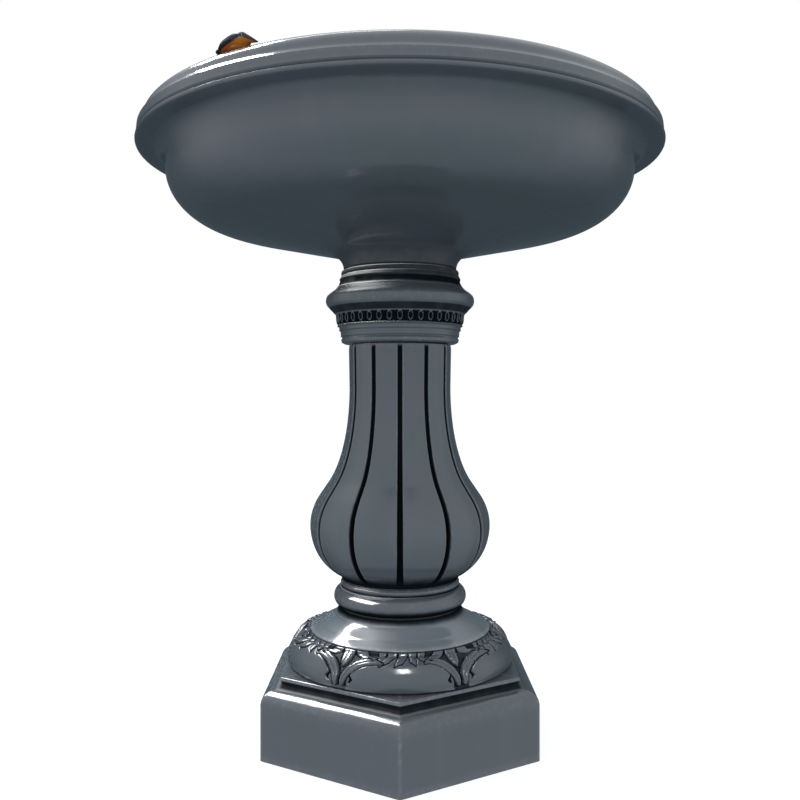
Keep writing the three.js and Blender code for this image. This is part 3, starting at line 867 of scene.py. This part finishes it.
def galvanised_steel():
    """Zinc with its frosty spangle, and rust starting in spots."""
    s = Shader("galvanised_steel")
    cells = s.add("ShaderNodeTexVoronoi", Vector=s.place, Scale=190.0).outputs["Color"]
    spangle = s.add("ShaderNodeSeparateColor", _0=cells).outputs[0]
    colour = s.mix(spangle, (0.32, 0.34, 0.36), (0.52, 0.54, 0.56))
    rust = s.ramp(s.noise(130, 5, 0.65), 0.58, 0.68)
    colour = s.mix(s.maths("MULTIPLY", rust, 0.7), colour, (0.16, 0.06, 0.025))
    rough = s.ramp(spangle, 0, 1, 0.32, 0.52)
    return s.done(Base_Color=colour, Roughness=rough, Metallic=0.9, Normal=s.bump(spangle, 0.08, 0.0003))


def black_rubber():
    s = Shader("black_rubber")
    bloom = s.ramp(s.noise(90, 4), 0.4, 0.7)
    colour = s.mix(bloom, (0.012, 0.012, 0.013), (0.030, 0.030, 0.030))
    return s.done(Base_Color=colour, Roughness=s.ramp(bloom, 0, 1, 0.62, 0.85),
                  Normal=s.bump(s.noise(900, 2), 0.25, 0.0003))


def pale_floor():
    """A lit white sweep: it glows, so that only a trace of shadow shows on it."""
    s = Shader("pale_floor")
    colour = s.mix(s.noise(1.1, 2), (0.26, 0.262, 0.265), (0.28, 0.28, 0.28))
    return s.done(Base_Color=colour, Roughness=0.9, Specular_IOR_Level=0.0,
                  Emission_Color=(1, 1, 1), Emission_Strength=0.84)


# ---------------------------------------------------------------- studio

KEY_FROM = Vector((-0.45, 0.34, 0.83))  # the big softbox stands high, on the left and a little behind
OBJECT_MIDDLE = (0, 0, 0.36)
BOSS_TOP = (0, -0.13, 0.085)  # over the front boss of the leaf ring

# Shadowless softboxes that each light only the castings they name: whether the light is diffuse too,
# then where it comes from, its distance, size, power and aim.
ACCENTS = {
    "halo": (("capital", "shaft", "collar_ring", "base_dome", "leaf_ring"), False,
             KEY_FROM, 2.25, (1.4, 1.2), 260, OBJECT_MIDDLE),
    "glint": (("collar_ring",), False, (-0.8, -0.18, 0.55), 2.0, (1.9, 0.9), 190, OBJECT_MIDDLE),
    "trail": (("basin",), False, (-0.14, 0.42, 0.88), 2.2, (0.7, 0.16), 1.5, OBJECT_MIDDLE),
    "brim": (("plinth",), False, KEY_FROM, 2.25, (1.4, 2.4), 520, OBJECT_MIDDLE),
    "spark": (("leaf_ring",), False, (0.05, -0.65, 0.76), 2.0, (0.30, 0.7), 22, BOSS_TOP),
    "lift": (("base_dome",), True, (-0.15, -0.25, 1), 1.6, (1.2, 1.2), 34, OBJECT_MIDDLE),
}


def make_floor():
    mesh = bmesh.new()
    bmesh.ops.create_circle(mesh, cap_ends=True, radius=9, segments=96)
    data = bpy.data.meshes.new("floor")
    mesh.to_mesh(data)
    mesh.free()
    floor = add_object("floor", data)
    data.materials.append(pale_floor())
    floor.visible_glossy = False
    floor.visible_diffuse = False


def softbox(name, direction, distance, size, power, target=OBJECT_MIDDLE):
    data = bpy.data.lights.new(name, "AREA")
    data.shape = "RECTANGLE"
    data.size, data.size_y = size
    data.energy = power
    light = add_object(name, data)
    light.location = Vector(target) + Vector(direction).normalized() * distance
    light.rotation_euler = Vector(direction).to_track_quat("Z", "Y").to_euler()
    return light


def make_sky():
    """White for the camera. Its light is white high up and in front, dim behind and blue-green below."""
    world = bpy.data.worlds.new("studio")
    bpy.context.scene.world = world
    world.use_nodes = True
    nodes, links = world.node_tree.nodes, world.node_tree.links
    nodes.clear()

    def fade(value, low, high):
        node = nodes.new("ShaderNodeMapRange")
        node.interpolation_type = "SMOOTHSTEP"
        node.inputs["From Min"].default_value = low
        node.inputs["From Max"].default_value = high
        links.new(value, node.inputs["Value"])
        return node.outputs[0]

    def blend(share, first, second):
        node = nodes.new("ShaderNodeMix")
        node.data_type = "RGBA"
        links.new(share, node.inputs[0])
        for socket, value in ((node.inputs[6], first), (node.inputs[7], second)):
            if isinstance(value, bpy.types.NodeSocket):
                links.new(value, socket)
            else:
                socket.default_value = (*value, 1)
        return node.outputs[2]

    where = nodes.new("ShaderNodeTexCoord")
    parts = nodes.new("ShaderNodeSeparateXYZ")
    links.new(where.outputs["Generated"], parts.inputs[0])
    forward, up = parts.outputs["Y"], parts.outputs["Z"]
    front = blend(fade(up, -1.0, 0.25), (0.50, 0.57, 0.63), (0.96, 0.99, 1.02))
    back = blend(fade(up, 0.30, 0.80), (0.075, 0.105, 0.125), (0.96, 0.99, 1.02))
    tint = blend(fade(forward, -0.08, 0.70), front, back)
    light = nodes.new("ShaderNodeBackground")
    links.new(tint, light.inputs["Color"])
    light.inputs["Strength"].default_value = 1.05
    white = nodes.new("ShaderNodeBackground")
    white.inputs["Strength"].default_value = 1.0
    white.inputs["Color"].default_value = (1, 1, 1, 1)
    eye = nodes.new("ShaderNodeLightPath")
    choice = nodes.new("ShaderNodeMixShader")
    links.new(eye.outputs["Is Camera Ray"], choice.inputs[0])
    links.new(light.outputs[0], choice.inputs[1])
    links.new(white.outputs[0], choice.inputs[2])
    output = nodes.new("ShaderNodeOutputWorld")
    links.new(choice.outputs[0], output.inputs[0])


def make_camera():
    data = bpy.data.cameras.new("camera")
    data.lens = 37.62
    data.sensor_width = 36
    data.shift_y = -0.0109
    data.clip_start = 0.05
    camera = add_object("camera", data)
    camera.location = (0, -1.005, 0.4059)
    camera.rotation_euler = (math.pi / 2, 0, 0)
    bpy.context.scene.camera = camera


# ---------------------------------------------------------------- putting it together

make_camera()
make_sky()
make_floor()
softbox("key", KEY_FROM, 2.2, (0.9, 0.9), 30).visible_glossy = False
sheen = softbox("sheen", KEY_FROM, 2.18, (0.55, 0.55), 42)
sheen.visible_diffuse = False
sheen.data.use_shadow = False
lit = {}
for name, (_, diffuse, *place) in ACCENTS.items():
    light = softbox(name, *place)
    light.visible_diffuse = diffuse
    light.data.use_shadow = False
    lit[name] = bpy.data.collections.new(name + "_lit")
    light.light_linking.receiver_collection = lit[name]
bpy.context.scene.view_settings.view_transform = "Standard"

outlines = {
    "basin": basin_outline(),
    "capital": capital_outline(),
    "shaft": shaft_outline(),
    "collar": collar_outline(),
    "dome": dome_outline(),
    "leaves": leaf_outline(),
    "plinth": plinth_outline(),
}
walls = list(outlines.values())
# Painted shade for each casting, from the open sky that its outline sees.
sky = {name: shaded(openness(outline, walls)) for name, outline in outlines.items()}

# Share of open sky and wear by bands: painted shade darkens the basin's neck, the collar's underside, the gap
# between the collar's rings and the dome's top round the collar, and is halved over most of the basin; wear
# is most at the lip.
basin_radius = outlines["basin"][:, 0]
basin_up = outlines["basin"][:, 1] - bottom("basin")
basin_open = np.where(basin_radius > 80, 0.5 + 0.5 * sky["basin"], sky["basin"])
basin_open *= 0.48 + 0.52 * smoothstep(np.where(basin_radius > 62, basin_up, 99), 12, 34)
basin_wear = crest(outlines["basin"]) * (0.1 + 0.9 * smoothstep(basin_up, 132, 136))
collar_up = outlines["collar"][:, 1] - bottom("collar_ring")
collar_shadow = smoothstep(collar_up, 8, 21) * (1 - 0.85 * np.exp(-((collar_up - 30.8) / 1.4) ** 2))
collar_open = sky["collar"] * collar_shadow
dome_open = sky["dome"] * (0.06 + 0.94 * smoothstep(outlines["dome"][:, 0], 71, 83))

paint = slate_paint()
castings = [
    (turned("basin_casting", outlines["basin"], 288, basin_open, basin_wear), "basin", "basin"),
    (make_capital(outlines["capital"], sky["capital"]), "pedestal", "capital"),
    (make_shaft(outlines["shaft"], sky["shaft"]), "pedestal", "shaft"),
    (turned("collar_casting", outlines["collar"], 192, collar_open), "pedestal", "collar_ring"),
    (turned("dome_casting", outlines["dome"], 240, dome_open), "pedestal", "base_dome"),
    (make_leaf_ring(outlines["leaves"], sky["leaves"]), "pedestal", "leaf_ring"),
    (make_plinth(outlines["plinth"], sky["plinth"]), "pedestal", "plinth"),
]
for piece, body, node in castings:
    for name, (nodes, *_) in ACCENTS.items():
        if node in nodes:
            lit[name].objects.link(piece)
    piece.data.materials.append(paint)
    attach(piece, body)
    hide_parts(node)

bird = make_bird()
bird.data.materials.append(bird_enamel())
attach(bird, "basin")
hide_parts("bird_ornament")
eyes = make_bird_eyes()
eyes.data.materials.append(eye_enamel())
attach(eyes, "basin")

finishes = [
    (black_rubber(), ("plinth_gasket", "collar_gasket", "shaft_gasket", "capital_gasket", "basin_seat",
                      "drain_gasket", "plug_seal")),
    (galvanised_steel(), ("tie_rod", "top_bridge", "top_washer", "top_nut", "bottom_bridge",
                          "bottom_washer", "bottom_nut", "bird_stud")),
    (metal("brass", (0.62, 0.41, 0.16), (0.20, 0.13, 0.06), 120, 0.22, 0.5),
     ("drain_flange", "drain_nut", "drain_plug")),
]
for finish, nodes in finishes:
    for node in nodes:
        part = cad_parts[node]
        part.data.materials.clear()
        part.data.materials.append(finish)
